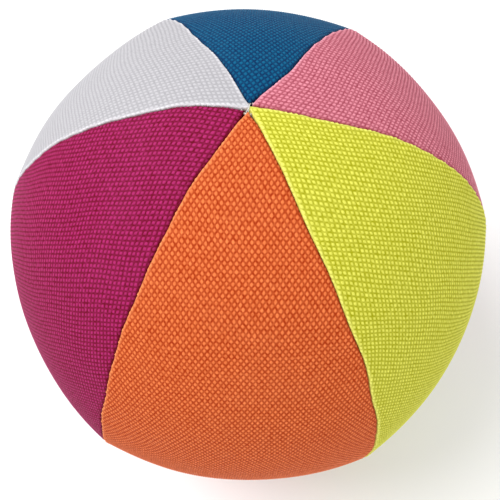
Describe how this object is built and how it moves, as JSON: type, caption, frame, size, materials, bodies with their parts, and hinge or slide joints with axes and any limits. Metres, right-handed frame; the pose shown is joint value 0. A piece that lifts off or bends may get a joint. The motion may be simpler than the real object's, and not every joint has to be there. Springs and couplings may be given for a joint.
{
  "type": "fabric-covered inflatable beach ball",
  "caption": "Inflated ball with a sewn cover of coloured woven panels over a welded vinyl bladder, and a push-in valve in a bound port.",
  "frame": {"origin": "the centre of the ball", "axes": "+Z through the pole where the six panel tips meet; -Y through the middle of the orange panel; the ball stands on the small flat at its lower pole"},
  "size_m": [0.226, 0.22, 0.2322],
  "materials": {
    "cloth_orange": "coarse plain weave, taut",
    "cloth_yellow": "coarse plain weave, taut",
    "cloth_pink": "coarse plain weave, taut",
    "cloth_blue": "coarse plain weave, taut",
    "cloth_white": "coarse plain weave, taut",
    "cloth_magenta": "coarse plain weave, taut",
    "thread": "bonded polyester thread",
    "binding_tape": "woven tape",
    "bladder_vinyl": "soft vinyl film",
    "valve_vinyl": "soft moulded vinyl"
  },
  "bodies": {
    "ball": {"panel_orange": "cloth_orange", "panel_yellow": "cloth_yellow", "panel_pink": "cloth_pink", "panel_blue": "cloth_blue", "panel_white": "cloth_white", "panel_magenta": "cloth_magenta", "seam_thread_1": "thread", "seam_thread_2": "thread", "seam_thread_3": "thread", "seam_thread_4": "thread", "seam_thread_5": "thread", "seam_thread_6": "thread", "closing_stitch_top": "thread", "closing_stitch_bottom": "thread", "valve_port_stitching": "thread", "bladder_panel_1": "bladder_vinyl", "bladder_panel_2": "bladder_vinyl", "bladder_panel_3": "bladder_vinyl", "bladder_panel_4": "bladder_vinyl", "bladder_panel_5": "bladder_vinyl", "bladder_panel_6": "bladder_vinyl", "bladder_cap_top": "bladder_vinyl", "bladder_cap_bottom": "bladder_vinyl", "valve_port_binding": "binding_tape", "valve_flange": "valve_vinyl"},
    "valve_stem": {"valve_stem": "valve_vinyl", "plug_tether": "valve_vinyl"},
    "valve_plug": {"valve_plug": "valve_vinyl"},
    "check_flap": {"check_flap": "valve_vinyl"}
  },
  "joints": [
    {"name": "stem_slide", "type": "slide", "parent": "ball", "child": "valve_stem", "axis": [0, 0.788, -0.6157], "range_m": [0, 0.011]},
    {"name": "plug_pull", "type": "slide", "parent": "valve_stem", "child": "valve_plug", "axis": [0, 0.788, -0.6157], "range_m": [0, 0.012]},
    {"name": "flap_hinge", "type": "hinge", "parent": "valve_stem", "child": "check_flap", "pos_m": [0.005, 0.06971, -0.06028], "axis": [0, 0.6157, 0.788], "range_deg": [0, 60], "stiffness_Nm_per_rad": 0.00002}
  ]
}
